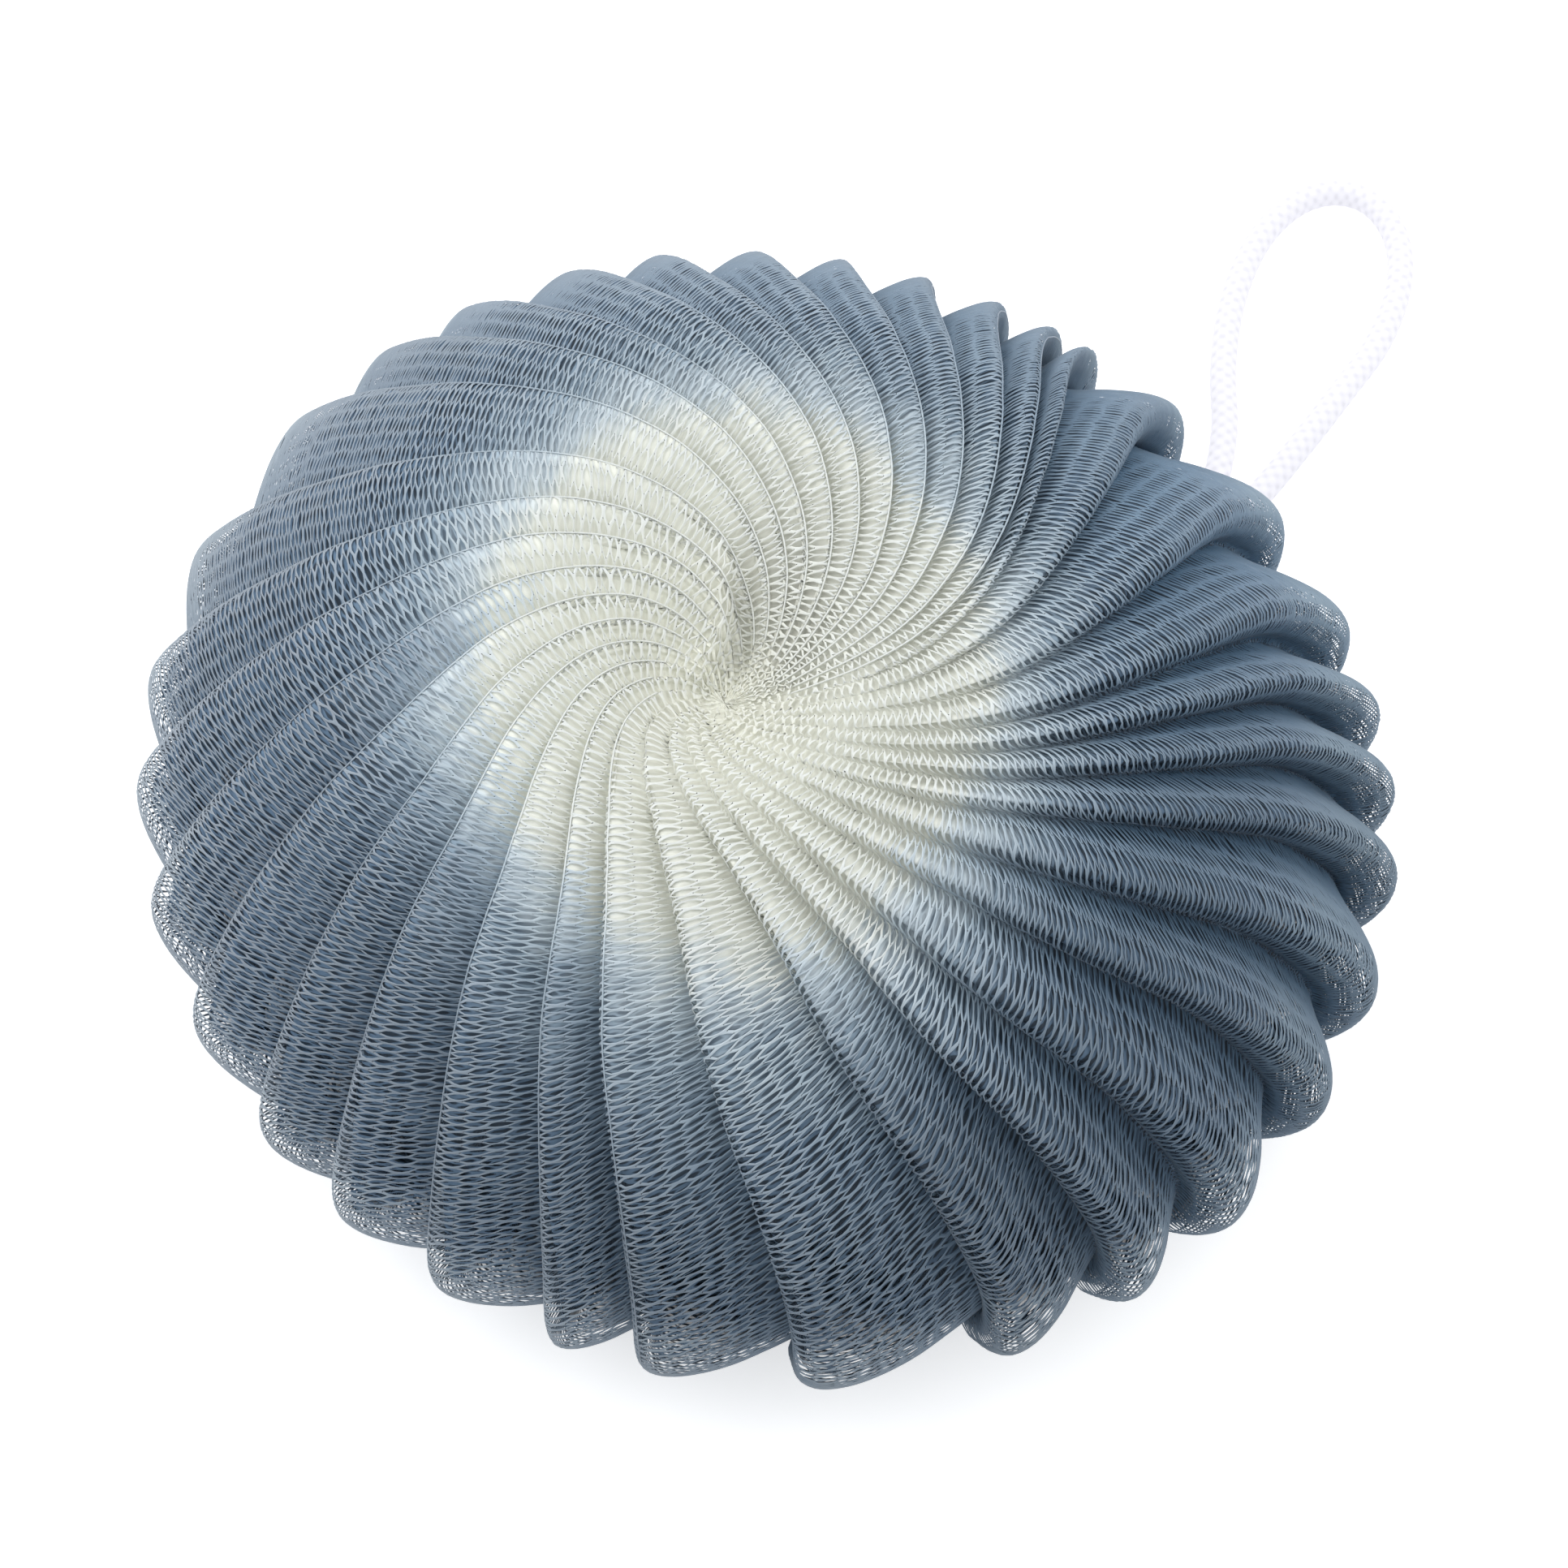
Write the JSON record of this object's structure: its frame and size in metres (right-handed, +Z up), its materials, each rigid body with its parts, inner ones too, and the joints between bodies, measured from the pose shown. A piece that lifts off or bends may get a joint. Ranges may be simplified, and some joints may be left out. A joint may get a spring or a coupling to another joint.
{
  "type": "mesh bath pouf",
  "caption": "Round, flattened bath pouf of soft net, pleated into overlapping leaves that swirl to a dimple on top and gather to a bound neck below, with a loop of cord lying beside it.",
  "frame": {"origin": "on the floor, under the middle of the net body's bounding box; the cord loop is left out of that middle", "axes": "+Z up, through the dimple; +Y towards the back of the picture; +X to its right, the side on which the cord loop comes out"},
  "size_m": [0.1571, 0.1734, 0.0647],
  "materials": {
    "mesh_body": "soft open net of fine yarn, dip dyed: cream in the middle of the top and steel blue from about half way out",
    "neck_binding": "white braided cord",
    "cord_knot": "white braided cord",
    "hanging_cord": "white braided cord"
  },
  "bodies": {
    "root": {"mesh_body": "mesh_body", "neck_binding": "neck_binding", "cord_knot": "cord_knot", "hanging_cord": "hanging_cord"}
  },
  "joints": []
}
